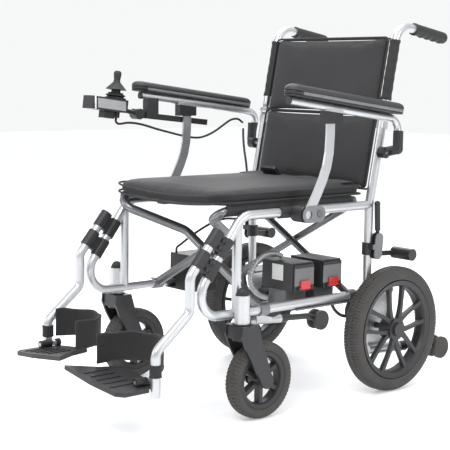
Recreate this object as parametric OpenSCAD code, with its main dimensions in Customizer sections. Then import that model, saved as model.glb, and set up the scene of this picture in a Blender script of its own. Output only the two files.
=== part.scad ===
// Folding power wheelchair: cross-brace frame, two gear motors, twin battery packs and an
// arm-mounted joystick. X runs across the chair (+X is the user's left), Y runs from front (-)
// to back (+), Z is up. The origin is on the floor, under the middle of the whole chair.

/* [Frame] */
// Distance from the chair's centre plane to each side frame
frame_x = 213; // [195:1:240]
// Outer diameter of the frame tubes
tube_d = 22; // [19:0.5:25]
// Height of the upper side rail's centre line
upper_rail_z = 466; // [440:1:500]
// Height of the lower side rail's centre line
lower_rail_z = 245; // [235:1:255]
// Back post, measured forward from the rear axle
post_reach = 43; // [35:1:55]
// Front post, measured forward from the rear axle
front_post_reach = 480; // [460:1:500]
// Furthest reach of the frame's front bend, forward from the rear axle
nose_reach = 584; // [574:1:590]
// Slope of the frame's front diagonal, in degrees
nose_slope = 52.75; // [51:0.25:54]

/* [Cross brace] */
// Distance from the centre plane to each seat rail
seat_rail_x = 190; // [175:1:192]
// Height of the seat rails' centre line
seat_rail_z = 477; // [476:1:480]
// Front brace tubes, measured forward from the rear axle
front_brace_reach = 388; // [380:1:395]
// Rear brace bars, measured forward from the rear axle
rear_brace_reach = 95; // [90:1:100]

/* [Back] */
// Height of the half-fold hinge on the back canes
back_hinge_z = 688; // [670:1:710]
// Recline of the back canes, in degrees
recline = 10.9; // [8:0.1:13]
// Length of each upper cane, from its hinge to the corner of the push handle
upper_cane_l = 228; // [215:1:240]
// Length of each push handle, from the cane's corner
handle_l = 181; // [170:1:195]
// Diameter of the push grips
grip_d = 31; // [28:1:36]
// Thickness of the back upholstery
back_pad_t = 24; // [16:1:30]

/* [Seat] */
// Width of the seat cushion
cushion_w = 404; // [380:1:410]
// Depth of the seat cushion
cushion_l = 472; // [450:1:480]
// Thickness of the seat cushion
cushion_t = 24; // [20:1:34]

/* [Armrests] */
// Length of each arm pad
arm_pad_l = 396; // [370:1:410]
// Width of each arm pad
arm_pad_w = 50; // [44:1:54]
// Thickness of each arm pad
arm_pad_t = 26; // [20:1:30]
// Diameter of the arm tubes
arm_tube_d = 19; // [17:0.5:21]

/* [Rear wheels] */
// Outer diameter of the rear tyres
rear_wheel_d = 314; // [305:1:320]
// Width of the rear tyres
rear_tyre_w = 48; // [42:1:50]
// Distance from the centre plane to each rear wheel's middle
rear_wheel_x = 261; // [260:1:270]
// Diameter of the wheel axles
axle_d = 15; // [12:0.5:17]

/* [Casters] */
// Outer diameter of the front casters
caster_d = 180; // [170:1:186]
// Width of the caster tyres
caster_w = 42; // [36:1:46]
// Swivel axis of the casters, measured forward from the rear axle
caster_reach = 485; // [480:1:490]
// Distance that the caster wheel trails behind its swivel axis
caster_trail = 55; // [48:1:58]

/* [Anti-tip wheels] */
// Diameter of the anti-tip wheels
antitip_d = 58; // [50:1:62]
// Anti-tip wheels' axle, measured backward from the rear axle
antitip_reach = 232; // [220:1:240]
// Height of the anti-tip wheels' axle
antitip_z = 71; // [66:1:76]

/* [Footrests] */
// Front edge of the footplates, measured forward from the rear axle
footplate_reach = 811; // [790:1:820]
// Length of each footplate, from its outer side to its inner tip
footplate_w = 202; // [190:1:204]
// Height of the footplates' hinge pins
footplate_z = 121; // [112:1:128]
// How much higher the right footplate is set than the left one
right_foot_lift = 15; // [0:1:20]
// Upward tilt of each footplate towards its inner tip, in degrees
footplate_tilt = 7; // [4:0.5:9]

/* [Power] */
// Width of each battery pack, along the chair
battery_w = 67; // [60:1:70]
// Length of each battery pack, across the chair
battery_l = 112; // [100:1:116]
// Height of each battery pack above its dock
battery_h = 68; // [60:1:76]
// Diameter of the motor bodies
motor_d = 84; // [76:1:88]
// Length of the motor bodies
motor_l = 52; // [44:1:54]

/* [Joystick] */
// Width of the joystick box
joystick_w = 52; // [46:1:54]
// Length of the joystick box
joystick_l = 108; // [100:1:116]
// Diameter of the joystick's lead
lead_d = 6; // [4:0.5:8]

/* [Fits] */
// Radial gap of a shaft or pin that turns in its bore
run_gap = 0.06; // [0.02:0.01:0.1]
// Radial gap of a clamp on its tube
clamp_gap = 0.15; // [0.13:0.01:0.25]
// Gap between pieces that move past each other
air_gap = 0.4; // [0.3:0.05:1]

/* [Hidden] */

// Y of the rear axle, so that the origin is midway along the whole chair
axle_y = (footplate_reach - antitip_reach - antitip_d / 2) / 2;
tube_r = tube_d / 2;
arm_r = arm_tube_d / 2;
post_y = -post_reach;
front_post_y = -front_post_reach;
front_brace_y = -front_brace_reach;
rear_brace_y = -rear_brace_reach;
axle_z = rear_wheel_d / 2;
bury = 0.8;
shade = 0.15;
weld = 2;

// Front frame outline: the corner points of the bent rail, as Y and Z
nose_bend_r = 50;
nose_y = nose_bend_r - nose_reach - nose_bend_r * tan(90 - nose_slope / 2);
knee_y = nose_y + (upper_rail_z - lower_rail_z) / tan(nose_slope);
function diagonal_y(z) = knee_y - (upper_rail_z - z) / tan(nose_slope);
nose_dir = [0, -cos(nose_slope), -sin(nose_slope)];

// Back canes: the reclined part starts at the level of the upper rail
function cane_y(z) = post_y + max(0, z - upper_rail_z) * tan(recline);
cane_dir = [0, sin(recline), cos(recline)];
back_hinge = [frame_x, cane_y(back_hinge_z), back_hinge_z];
hinge_gap = 15;
hinge_pin_r = 4;
cheek_x = 11;
tongue_x = 6.6;
handle_drop = 9;
handle_dir = [0, cos(handle_drop), -sin(handle_drop)];
cane_corner = back_hinge + cane_dir * upper_cane_l;
grip_l = 120;

// Cross brace: both halves turn about the lower rails and about the bolts where they cross
cross_z = 362;
cross_slope = (cross_z - lower_rail_z) / frame_x;
sleeve_r = tube_r + 4;
sleeve_gap = 0.3;
bar_r = 9;
bolt_r = 5;
rail_corner_y = -560;
rail_end_y = -76;
mid_bend_x = 67;

// Casters
caster_x = frame_x + 26;
caster_y = -caster_reach;
barrel_r = 18;
barrel_z = lower_rail_z - 18;
barrel_h = 64;
stem_r = 8;
caster_axle = [caster_x, caster_y + caster_trail, caster_d / 2];
fork_x = caster_w / 2 + 4;
fork_t = 6;

// Anti-tip arm
antitip_x = frame_x + 8;
antitip_axle = [antitip_x, antitip_reach, antitip_z];
antitip_pin_r = 4;
antitip_gap = 10;
antitip_t = 8;

// Legrest tube and the footplate's hinge
leg_x = frame_x - 1;
leg_foot_y = -708;
function foot_z(s) = footplate_z + (s < 0 ? right_foot_lift : 0);
leg_knee_y = -615;
leg_top = [leg_x, diagonal_y(428) - 46, 428];
leg_knee = [leg_x, leg_knee_y, 341];
clamp_r = tube_r + 3.5;
leg_clamp_z = [350, 396];
pin_x = leg_x - 24;
pin_r = 4;
knuckle_r = 9;
plate_drop = 8;
plate_t = 10;

// Armrest
arm_pivot = [frame_x + 25, -24, 597];
arm_rear = [frame_x + 43, 4, 679];
arm_elbow = [frame_x + 53, -4, 606];
elbow_r = 12.5;
arm_front = [frame_x + 61, -389, 726];
arm_slope = atan2(arm_front[2] - arm_rear[2], arm_rear[1] - arm_front[1]);
arm_pin_r = 5;
arm_dir = unit(arm_rear - arm_front);
pad_shift = [10, -15];
pad_toe = 1.3;

// Flat support bar under each arm: its centre line, as Y and Z
strut_x = frame_x + 50;
strut_w = 26;
strut_t = 5;
strut_path = [
    [-241, 700], [-241, 645], [-243, 605], [-250, 572], [-262, 543], [-278, 513], [-295, 485],
    [-309, 462]];

// Armrest latch on the upper rail
latch_x = [frame_x + 12, strut_x + 5.4];
latch_y = [-328, -255];
latch_z = [444, 483];
latch_r = 19;
button_at = [-274, 464];
button_r = 8.5;

// Parking brake
brake_x = frame_x + 12;
plate_gap = 6;
brake_pivot = [post_y + 8, 346];
lever_pivot = [post_y + 12, 384];
brake_pin_r = 3.5;
shoe_at = [42, 342];
shoe_r = 15;

// Batteries and their dock
battery_y = [-289, -193];
battery_x = 93;
dock_z = lower_rail_z - tube_r - sleeve_gap;
dock_t = 4;
dock_top = 270;
battery_z = dock_top + air_gap;
latch_pin_r = 2;

// Controller, under the right-hand side of the seat
controller_lo = [100, -350, 258];
controller_hi = [190, -240, 325];

// Joystick, on the right-hand arm; its own frame lies along the arm tube
joy_x = -frame_x - 50;
mount_bar = [[-274, -376, 674], [-274, -164, 653.5]];
mount_bar_x = 4;
mount_bar_z = 7.5;
mount_knob = [-272, -398, 678];
joy_rear = [joy_x, -452, 697];
stick_y = -25;
stick_z = 8;
box_h = 32;
well_r = 15;
gimbal_r = 3;
cross_pin_r = 2;

// Route of the joystick's lead along the arm, from the box to the clip by the rear elbow
arm_lead_route = [
    [-263, -196.6, 669], [-263, -197.5, 660], [-263.5, -191, 654.5], [-264, -180, 654],
    [-265, -160, 656], [-266, -140, 655], [-267, -118, 652], [-268, -95, 647], [-270, -60, 638],
    [-270, -20, 629], [-271, 17, 621], [-271, 50, 615], [-271, 82, 613], [-270, 112, 619],
    [-268, 142, 632], [-265, 168, 648], [-262, 190, 660], [-258, 210, 662], [-252, 224, 652]];
// Route of the same lead down the back post and under the seat to the controller
frame_lead_route = [
    [-248, 222, 636], [-240, 216, 610], [-231, 212, 580], [-222, 210, 552], [-217, 210, 526],
    [-215, 210, 506], [-212, 210, 492], [-204, 209, 484.5], [-193, 208, 480], [-185, 206, 470],
    [-180, 203, 456], [-173, 197, 438], [-165, 184, 425], [-152, 160, 414], [-136, 125, 408],
    [-120, 85, 408], [-110, 45, 412], [-110, 8, 408], [-122, -22, 392], [-142, -46, 370],
    [-162, -60, 350], [-175, -66, 338], [-177, -66, 325.3]];
// Route of the corrugated harness in front of the batteries
harness_route = [
    [132, 16, 345.4], [120, 2, 353], [108, -20, 350], [100, -40, 334], [97, -54, 308],
    [99, -58, 284], [104, -50, 266], [112, -36, 252], [122, -21.5, 246]];
// Route of the left motor's cable, which hangs below the lower rail
motor_route = [
    [200, 122, 225], [204, 128, 212], [210, 140, 200], [214, 156, 195], [214, 172, 198],
    [210, 188, 207], [204, 204, 214], [196, 220, 215], [186, 236, 211], [176, 248, 204],
    [171, 254, 199]];

function unit(v) = v / norm(v);
function side_of(u) = unit(cross(u, abs(u[2]) > 0.9 ? [1, 0, 0] : [0, 0, 1]));
function place_of(x, y, z, o) = [
    [x[0], y[0], z[0], o[0]],
    [x[1], y[1], z[1], o[1]],
    [x[2], y[2], z[2], o[2]],
    [0, 0, 0, 1]];
function turn_at(p, i) =
    let (u = unit(p[i] - p[i - 1]), v = unit(p[i + 1] - p[i]))
    acos(max(-1, min(1, u * v)));
function trim_at(p, i, rb) = i == 0 || i == len(p) - 1 ? 0 : rb * tan(turn_at(p, i) / 2);
function mean_dir(p, i) =
    unit((i < len(p) - 1 ? unit(p[i + 1] - p[i]) : [0, 0, 0])
        + (i > 0 ? unit(p[i] - p[i - 1]) : [0, 0, 0]));

// Moves a piece from the rear axle's frame to the chair's own frame
module home() translate([0, axle_y, 0]) children();

// Draws a left-hand piece, or its mirror image for the right-hand side
module on_side(s) {
    if (s > 0) home() children();
    else home() mirror([1, 0, 0]) children();
}

// A round bar from a to b
module rod(a, b, r) {
    u = unit(b - a);
    s = side_of(u);
    multmatrix(place_of(s, cross(u, s), u, a)) cylinder(r = r, h = norm(b - a), $fn = 40);
}

// One bend of a tube; it is a hair thinner than the straights, and its ends are buried in them
module bend(p, i, r, rb) {
    u = unit(p[i] - p[i - 1]);
    v = unit(p[i + 1] - p[i]);
    phi = turn_at(p, i);
    m = unit(v - u * cos(phi));
    c = p[i] - u * rb * tan(phi / 2) + m * rb;
    multmatrix(place_of(-m, u, cross(u, m), c)) rotate(-bury)
        rotate_extrude(angle = phi + 2 * bury, $fn = 72)
            translate([rb, 0]) circle(r = r - shade, $fn = 40);
}

// A bent tube along the points p, with the bend radius rb
module pipe(p, r, rb) {
    n = len(p);
    for (i = [0 : n - 2]) {
        u = unit(p[i + 1] - p[i]);
        rod(p[i] + u * trim_at(p, i, rb), p[i + 1] - u * trim_at(p, i + 1, rb), r);
    }
    for (i = [1 : n - 2]) bend(p, i, r, rb);
}

// A flat profile drawn in Y and Z, made w thick from x0 outward
module across(x0, w) translate([x0, 0, 0]) rotate([90, 0, 90]) linear_extrude(w) children();

// A ring or disc that turns about the X axis, centred on c
module wheel_part(c) translate(c) rotate([0, 90, 0]) children();

// A box given by its lowest and highest corners
module block(a, b) translate(a) cube(b - a);

// One swept tube for a cord, with a ring of n sides at every point of its route
module cord(p, r, n = 8) {
    rings = [for (i = [0 : len(p) - 1])
        let (u = mean_dir(p, i), s = side_of(u), t = cross(u, s))
        [for (k = [0 : n - 1]) p[i] + (s * cos(360 * k / n) + t * sin(360 * k / n)) * r]];
    walls = [for (i = [0 : len(p) - 2]) for (k = [0 : n - 1])
        [i * n + k, (i + 1) * n + k, (i + 1) * n + (k + 1) % n, i * n + (k + 1) % n]];
    last = (len(p) - 1) * n;
    start_cap = [for (k = [0 : n - 1]) k];
    end_cap = [for (k = [n - 1 : -1 : 0]) last + k];
    polyhedron([for (ring = rings) for (q = ring) q], concat(walls, [start_cap, end_cap]));
}

// ---- Frame ----

// The axle carrier plate, welded under the rear end of the lower rail
module axle_plate() {
    across(frame_x - 8, 6) {
        translate([0, axle_z]) circle(r = 34, $fn = 60);
        polygon([
            [post_y - 15, lower_rail_z + 6], [-40, 200], [-34, axle_z], [-26, 96],
            [30, 92], [34, axle_z], [40, 200], [post_y + 89, lower_rail_z + 6]]);
    }
}

// Socket of the anti-tip arm, the black arm that slides in it and the wheel's axle pin
module antitip_arm() {
    rod([antitip_x, -45, 101], [antitip_x, 100, 92], 13);
    pipe([[antitip_x, 60, 94.5], [antitip_x, 190, 86], antitip_axle], 9, 26);
    rod(antitip_axle - [18, 0, 0], antitip_axle + [18, 0, 0], antitip_pin_r);
}

// The two cheeks and the pin that carry the upper cane
module back_hinge_cheeks() {
    for (x = [-cheek_x, tongue_x + air_gap])
        translate(back_hinge + [x, 0, 0]) rotate([90, 0, 90])
            linear_extrude(cheek_x - tongue_x - air_gap) {
                circle(r = 12, $fn = 48);
                rotate(-recline) translate([-9, -34]) square([18, 34]);
            }
    rod(back_hinge - [cheek_x, 0, 0], back_hinge + [cheek_x, 0, 0], hinge_pin_r);
}

// Pin of the armrest's elbow, welded to the cane
module arm_pivot_pin() {
    rod([frame_x + 4, arm_pivot[1], arm_pivot[2]], arm_pivot + [12, 0, 0], arm_pin_r);
}

// Socket of the caster's stem, with its gusset to the rail
module caster_barrel() {
    translate([caster_x, caster_y, barrel_z]) cylinder(r = barrel_r, h = barrel_h, $fn = 60);
    block([frame_x, caster_y - 6, lower_rail_z - 6], [caster_x, caster_y + 6, barrel_z + barrel_h - 6]);
}

module side_frame(s) color("silver") on_side(s) difference() {
    union() {
        pipe([
            [frame_x, post_y, upper_rail_z], [frame_x, knee_y, upper_rail_z],
            [frame_x, nose_y, lower_rail_z], [frame_x, 46, lower_rail_z]], tube_r, nose_bend_r);
        pipe([
            [frame_x, post_y, lower_rail_z], [frame_x, post_y, upper_rail_z],
            back_hinge - cane_dir * hinge_gap], tube_r, 60);
        rod([frame_x, front_post_y, lower_rail_z],
            [frame_x, front_post_y, upper_rail_z - 18], tube_r);
        caster_barrel();
        axle_plate();
        antitip_arm();
        back_hinge_cheeks();
        arm_pivot_pin();
    }
    translate([caster_x, caster_y, barrel_z - 1])
        cylinder(r = stem_r + run_gap, h = barrel_h - 7, $fn = 48);
    wheel_part([frame_x - 9, 0, axle_z]) cylinder(r = axle_d / 2 + 1, h = 8, $fn = 48);
}
module left_frame() side_frame(1);
module right_frame() side_frame(-1);

// ---- Cross brace ----

// One half of the brace, drawn with its seat rail on the left and its sleeves on the right
module brace_half(front_y, rear_y) difference() {
    union() {
        pipe([
            [seat_rail_x, rail_end_y, seat_rail_z], [seat_rail_x, rail_corner_y, seat_rail_z],
            [mid_bend_x, front_y, cross_z + mid_bend_x * cross_slope],
            [weld - frame_x, front_y, lower_rail_z + weld * cross_slope]], tube_r, 30);
        rod([seat_rail_x, rear_y, cross_z + seat_rail_x * cross_slope],
            [weld - frame_x, rear_y, lower_rail_z + weld * cross_slope], bar_r);
        for (y = [front_y, rear_y])
            rod([-frame_x, y - 13, lower_rail_z], [-frame_x, y + 13, lower_rail_z], sleeve_r);
    }
    for (y = [front_y, rear_y])
        rod([-frame_x, y - 20, lower_rail_z], [-frame_x, y + 20, lower_rail_z],
            tube_r + sleeve_gap);
}
module cross_bolts(r, over) {
    rod([0, front_brace_y - 12 - tube_r - over, cross_z],
        [0, front_brace_y + 12 + tube_r + over, cross_z], r);
    rod([0, rear_brace_y - 10 - bar_r - over, cross_z],
        [0, rear_brace_y + 10 + bar_r + over, cross_z], r);
}
module brace_a() color("silver") home() {
    mirror([1, 0, 0]) brace_half(front_brace_y - 12, rear_brace_y - 10);
    cross_bolts(bolt_r, 3);
}
module brace_b() color("silver") home() difference() {
    brace_half(front_brace_y + 12, rear_brace_y + 10);
    cross_bolts(bolt_r + run_gap, 20);
}

// ---- Motors and wheels ----

// Gear case behind the axle plate, the motor beside it and the drive shaft to the wheel
module motor(s) color("silver") on_side(s) {
    difference() {
        union() {
            across(frame_x - 46, 37.7) translate([0, axle_z]) circle(r = 42, $fn = 60);
            across(frame_x - 46, 37.7) translate([24, axle_z + 20]) circle(r = motor_d / 2, $fn = 60);
        }
        wheel_part([frame_x - 30, 0, axle_z]) cylinder(r = axle_d / 2 + 1, h = 30, $fn = 48);
    }
    across(frame_x - 46 - motor_l, motor_l)
        translate([24, axle_z + 20]) circle(r = motor_d / 2 - 3, $fn = 60);
    rod([frame_x - 30, 0, axle_z], [rear_wheel_x + 20, 0, axle_z], axle_d / 2);
}
module left_motor() motor(1);
module right_motor() motor(-1);

rim_r = rear_wheel_d / 2 - 38;
spoke_w = 13;

// One curved spoke, from the hub out to the rim, leaning by the given number of degrees
module spoke(lean) {
    steps = 6;
    side = [for (t = [0 : steps])
        let (r = 22 + (rim_r - 20) * t / steps, a = lean * (1 - pow(1 - t / steps, 2)))
        [r, a, spoke_w / 2 * (1 - 0.35 * sin(180 * t / steps))]];
    function edge(q, w) = [q[0] * cos(q[1]) - w * sin(q[1]), q[0] * sin(q[1]) + w * cos(q[1])];
    polygon(concat([for (q = side) edge(q, -q[2])],
        [for (i = [steps : -1 : 0]) edge(side[i], side[i][2])]));
}

module rear_rim(s) color("dimgray") on_side(s) wheel_part([rear_wheel_x, 0, axle_z]) difference() {
    union() {
        rotate_extrude($fn = 96) polygon([
            [rim_r - 8, -17], [rim_r + 4, -21], [rim_r + 4, 21], [rim_r - 8, 17],
            [rim_r - 12, 9], [rim_r - 12, -9]]);
        translate([0, 0, 4]) linear_extrude(11)
            for (k = [0 : 4]) rotate(72 * k) for (lean = [-17, 17]) rotate(lean / 3) spoke(lean);
        translate([0, 0, -18]) cylinder(r = 27, h = 38, $fn = 60);
        translate([0, 0, 20]) cylinder(r = 17, h = 7, $fn = 60);
    }
    translate([0, 0, -20]) cylinder(r = axle_d / 2 + run_gap, h = 42, $fn = 48);
}
module left_rear_rim() rear_rim(1);
module right_rear_rim() rear_rim(-1);

module rear_tyre(s) color("black") on_side(s) wheel_part([rear_wheel_x, 0, axle_z])
    rotate_extrude($fn = 96) difference() {
        translate([rear_wheel_d / 2 - rear_tyre_w / 2, 0]) circle(r = rear_tyre_w / 2, $fn = 40);
        translate([0, -rear_tyre_w]) square([rim_r + 4, 2 * rear_tyre_w]);
    }
module left_rear_tyre() rear_tyre(1);
module right_rear_tyre() rear_tyre(-1);

caster_rim_r = caster_d / 2 - 27;

module caster_fork(s) color("black") on_side(s) {
    translate([caster_x, caster_y, barrel_z - 38]) cylinder(r = 22, h = 37.6, $fn = 60);
    translate([caster_x, caster_y, barrel_z - 10]) cylinder(r = stem_r, h = barrel_h - 4, $fn = 48);
    for (x = [-fork_x - fork_t, fork_x]) across(caster_x + x, fork_t) {
        polygon([
            [caster_y - 24, barrel_z - 3], [caster_y - 26, barrel_z - 24],
            [caster_y - 12, 170], [caster_axle[1] - 17, caster_axle[2] - 4],
            [caster_axle[1] + 17, caster_axle[2] + 4], [caster_y + 40, 172],
            [caster_y + 24, barrel_z - 3]]);
        translate([caster_axle[1], caster_axle[2]]) circle(r = 17, $fn = 48);
    }
    block([caster_x - fork_x - fork_t, caster_y - 22, barrel_z - 34],
        [caster_x + fork_x + fork_t, caster_y + 24, barrel_z - 3]);
    rod(caster_axle - [fork_x, 0, 0], caster_axle + [fork_x, 0, 0], 5);
}
module left_caster_fork() caster_fork(1);
module right_caster_fork() caster_fork(-1);

module caster_rim(s) color("gray") on_side(s) wheel_part(caster_axle) difference() {
    union() {
        rotate_extrude($fn = 72) polygon([
            [caster_rim_r - 6, -14], [caster_rim_r + 3, -16], [caster_rim_r + 3, 16],
            [caster_rim_r - 6, 14], [caster_rim_r - 9, 8], [caster_rim_r - 9, -8]]);
        translate([0, 0, -9]) linear_extrude(18)
            for (k = [0 : 5]) rotate(60 * k) translate([10, -5]) square([caster_rim_r - 14, 10]);
        translate([0, 0, -caster_w / 2]) cylinder(r = 16, h = caster_w, $fn = 48);
    }
    translate([0, 0, -caster_w]) cylinder(r = 5 + run_gap, h = 2 * caster_w, $fn = 48);
}
module left_caster_rim() caster_rim(1);
module right_caster_rim() caster_rim(-1);

module caster_tyre(s) color("black") on_side(s) wheel_part(caster_axle)
    rotate_extrude($fn = 72) difference() {
        translate([caster_d / 2 - caster_w / 2, 0]) circle(r = caster_w / 2, $fn = 40);
        translate([0, -caster_w]) square([caster_rim_r + 3, 2 * caster_w]);
    }
module left_caster_tyre() caster_tyre(1);
module right_caster_tyre() caster_tyre(-1);

// Two discs on one axle, joined by a thin tube inside the arm's end
module antitip_wheel(s) color("black") on_side(s) wheel_part(antitip_axle) difference() {
    for (z = [-antitip_gap - antitip_t, antitip_gap])
        translate([0, 0, z]) cylinder(r = antitip_d / 2, h = antitip_t, $fn = 60);
    translate([0, 0, -30]) cylinder(r = antitip_pin_r + run_gap, h = 60, $fn = 40);
}
module left_antitip_wheel() antitip_wheel(1);
module right_antitip_wheel() antitip_wheel(-1);

// ---- Legrests and footplates ----

module legrest(s) color("silver") on_side(s) {
    pipe([leg_top, leg_knee, [leg_x, leg_knee_y, 262], [leg_x, leg_foot_y, 186],
        [leg_x, leg_foot_y, foot_z(s) - 33]], tube_r, 26);
    block([pin_x - 5, leg_foot_y - 7, foot_z(s) - 5], [leg_x, leg_foot_y + 7, foot_z(s) + 5]);
    rod([pin_x, leg_foot_y - 38, foot_z(s)], [pin_x, leg_foot_y + 18, foot_z(s)], pin_r);
}
module left_legrest() legrest(1);
module right_legrest() legrest(-1);

// One clamp at height z on the frame's diagonal: two sleeves, a web between them and two bolts
module leg_clamp(z) {
    c = [frame_x, diagonal_y(z), z];
    front = [0, -sin(nose_slope), cos(nose_slope)];
    leg_dir = unit(leg_top - leg_knee);
    d = leg_knee + leg_dir * ((c - leg_knee) * leg_dir);
    difference() {
        union() {
            rod(c - nose_dir * 23, c + nose_dir * 23, clamp_r);
            rod(d - leg_dir * 21, d + leg_dir * 21, clamp_r);
            multmatrix(place_of([1, 0, 0], front, nose_dir, c - [0.5, 0, 0]))
                translate([-8, 0, -18]) cube([16, norm(d - c), 36]);
        }
        rod(c - nose_dir * 60, c + nose_dir * 60, tube_r + clamp_gap);
        rod(d - leg_dir * 60, d + leg_dir * 60, tube_r + clamp_gap);
    }
    for (k = [-9, 9])
        rod((c + d) / 2 + nose_dir * k, (c + d) / 2 + nose_dir * k + [12, 0, 0], 4.5);
}
module legrest_clamps(s) color("black") on_side(s) {
    for (z = leg_clamp_z) leg_clamp(z);
}
module left_legrest_clamps() legrest_clamps(1);
module right_legrest_clamps() legrest_clamps(-1);

module footplate(s) color("black") on_side(s) difference() {
    union() {
        translate([pin_x, 0, foot_z(s)]) rotate([0, footplate_tilt, 0])
            translate([0, 0, -plate_drop - plate_t]) {
            inner = 24 - footplate_w;
            linear_extrude(plate_t) polygon([
                [inner, 4 - footplate_reach], [-70, -footplate_reach], [10, 8 - footplate_reach],
                [24, 24 - footplate_reach], [24, leg_foot_y - 15], [8, leg_foot_y - 13],
                [8, leg_foot_y + 16], [-118, leg_foot_y + 16], [inner + 42, leg_foot_y - 36]]);
            for (x = [-116 : 24 : -20])
                translate([x, 14 - footplate_reach, plate_t - 1]) cube([5, 62, 3]);
        }
        for (y = [[-37, -7.6], [7.6, 17]])
            rod([pin_x, leg_foot_y + y[0], foot_z(s)], [pin_x, leg_foot_y + y[1], foot_z(s)],
                knuckle_r);
    }
    rod([pin_x, leg_foot_y - 60, foot_z(s)], [pin_x, leg_foot_y + 60, foot_z(s)],
        pin_r + run_gap);
}
module left_footplate() footplate(1);
module right_footplate() footplate(-1);

// Webbing sleeve round the legrest tube, and the strap that passes behind the heel
loop_mid = [leg_x - 92, leg_foot_y];
function curl(a, rx, ry) = loop_mid + [rx * cos(a), ry * sin(a)];
module heel_loop(s) color("black") on_side(s) {
    difference() {
        translate([leg_x, leg_foot_y, foot_z(s) + 12]) cylinder(r = 14, h = 24, $fn = 48);
        translate([leg_x, leg_foot_y, 0]) cylinder(r = tube_r + air_gap, h = 300, $fn = 48);
    }
    translate([0, 0, foot_z(s) + 14]) linear_extrude(66) polygon(concat(
        [for (a = [10 : 10 : 180]) curl(a, 79, 72)], [loop_mid - [79, 34], loop_mid - [76, 34]],
        [for (a = [180 : -10 : 10]) curl(a, 76, 69)]));
}
module left_heel_loop() heel_loop(1);
module right_heel_loop() heel_loop(-1);

// ---- Back and armrests ----

module upper_cane(s) color("silver") on_side(s) difference() {
    union() {
        pipe([back_hinge + cane_dir * hinge_gap, cane_corner, cane_corner + handle_dir * handle_l],
            tube_r, 45);
        translate(back_hinge - [tongue_x, 0, 0]) rotate([90, 0, 90])
            linear_extrude(2 * tongue_x) {
                circle(r = 11, $fn = 48);
                rotate(-recline) translate([-9, 0]) square([18, hinge_gap + 6]);
            }
    }
    rod(back_hinge - [20, 0, 0], back_hinge + [20, 0, 0], hinge_pin_r + run_gap);
}
module left_upper_cane() upper_cane(1);
module right_upper_cane() upper_cane(-1);

module push_grip(s) color("black") on_side(s) difference() {
    end = cane_corner + handle_dir * (handle_l + 4);
    start = cane_corner + handle_dir * (handle_l - grip_l);
    rod(start, end, grip_d / 2);
    rod(start - handle_dir, end - handle_dir * 4, tube_r + run_gap);
}
module left_push_grip() push_grip(1);
module right_push_grip() push_grip(-1);

// A flat strip of the given width along the points p, in Y and Z
module strip(p, w) {
    for (i = [0 : len(p) - 2]) {
        u = unit(p[i + 1] - p[i]);
        n = [-u[1], u[0]] * w / 2;
        polygon([p[i] + n, p[i + 1] + n, p[i + 1] - n, p[i] - n]);
        translate(p[i + 1]) circle(r = w / 2, $fn = 48);
    }
}

module arm_tube(s) color("silver") on_side(s) {
    top = arm_front + arm_dir * ((strut_path[0][0] - arm_front[1]) / arm_dir[1]);
    difference() {
        union() {
            pipe([arm_front, arm_rear, arm_elbow], arm_r, 30);
            rod(arm_elbow + [-1, 1, 45], arm_elbow, elbow_r);
            translate(arm_elbow) sphere(r = elbow_r + 0.4, $fn = 48);
            rod(arm_elbow, arm_pivot - [2, 0, 0], elbow_r - 0.5);
            rod(arm_pivot - [11, 0, 0], arm_pivot + [9, 0, 0], 14);
        }
        rod(arm_pivot - [30, 0, 0], arm_pivot + [30, 0, 0], arm_pin_r + run_gap);
    }
    block([top[0] - 11, top[1] - 29, top[2] - 36], [top[0] + 10, top[1] + 27, top[2] - 2]);
    across(strut_x - strut_t / 2, strut_t) strip(strut_path, strut_w);
}
module left_arm_tube() arm_tube(1);
module right_arm_tube() arm_tube(-1);

// Padded rest, lying along the arm tube on a shallow shell
module arm_pad(s) color("black") on_side(s)
    translate(arm_front + [pad_shift[0], pad_shift[1], arm_r + air_gap - pad_shift[1] * tan(arm_slope)])
        rotate([0, 0, pad_toe]) rotate([-arm_slope, 0, 0]) {
            end_r = arm_pad_w / 2 - 1;
            linear_extrude(arm_pad_t) {
                for (y = [end_r, arm_pad_l - end_r]) translate([0, y]) circle(r = end_r, $fn = 60);
                translate([-end_r, end_r]) square([2 * end_r, arm_pad_l - 2 * end_r]);
            }
        }
module left_arm_pad() arm_pad(1);
module right_arm_pad() arm_pad(-1);

// ---- Fittings fixed to each side frame ----

// Latch that holds the arm's support bar: a slotted block and its clamp round the upper rail
module arm_latch() difference() {
    union() {
        across(latch_x[0], latch_x[1] - latch_x[0]) {
            for (y = [latch_y[0] + latch_r, latch_y[1] - latch_r])
                translate([y, latch_z[0] + latch_r]) circle(r = latch_r, $fn = 60);
            translate([latch_y[0] + latch_r, latch_z[0]])
                square([latch_y[1] - latch_y[0] - 2 * latch_r, latch_z[1] - latch_z[0]]);
        }
        rod([frame_x, latch_y[0] - 26, upper_rail_z], [frame_x, latch_y[1] - 8, upper_rail_z],
            tube_r + 2.8);
    }
    rod([frame_x, latch_y[0] - 90, upper_rail_z], [frame_x, latch_y[1] + 90, upper_rail_z],
        tube_r + clamp_gap);
    across(strut_x - strut_t / 2 - air_gap, strut_t + 2 * air_gap)
        polygon([
            [-270, 500], [-288, 466], [-288, 447.5], [latch_y[0] - 5, 447.5], [latch_y[0] - 5, 500]]);
    wheel_part([strut_x, -309, 463]) cylinder(r = 10.5, h = 20, $fn = 48);
    wheel_part([strut_x - 4, button_at[0], button_at[1]])
        cylinder(r = button_r + air_gap, h = 20, $fn = 48);
}

// Cradle on the inside of the upper rail that the seat rail rests in
module rail_saddle(y) difference() {
    block([frame_x - 36, y - 13, upper_rail_z - 14], [frame_x - 8, y + 13, upper_rail_z + 6]);
    rod([seat_rail_x, y - 20, seat_rail_z], [seat_rail_x, y + 20, seat_rail_z], tube_r + sleeve_gap);
    rod([frame_x, y - 20, upper_rail_z], [frame_x, y + 20, upper_rail_z], tube_r + clamp_gap);
}

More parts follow.
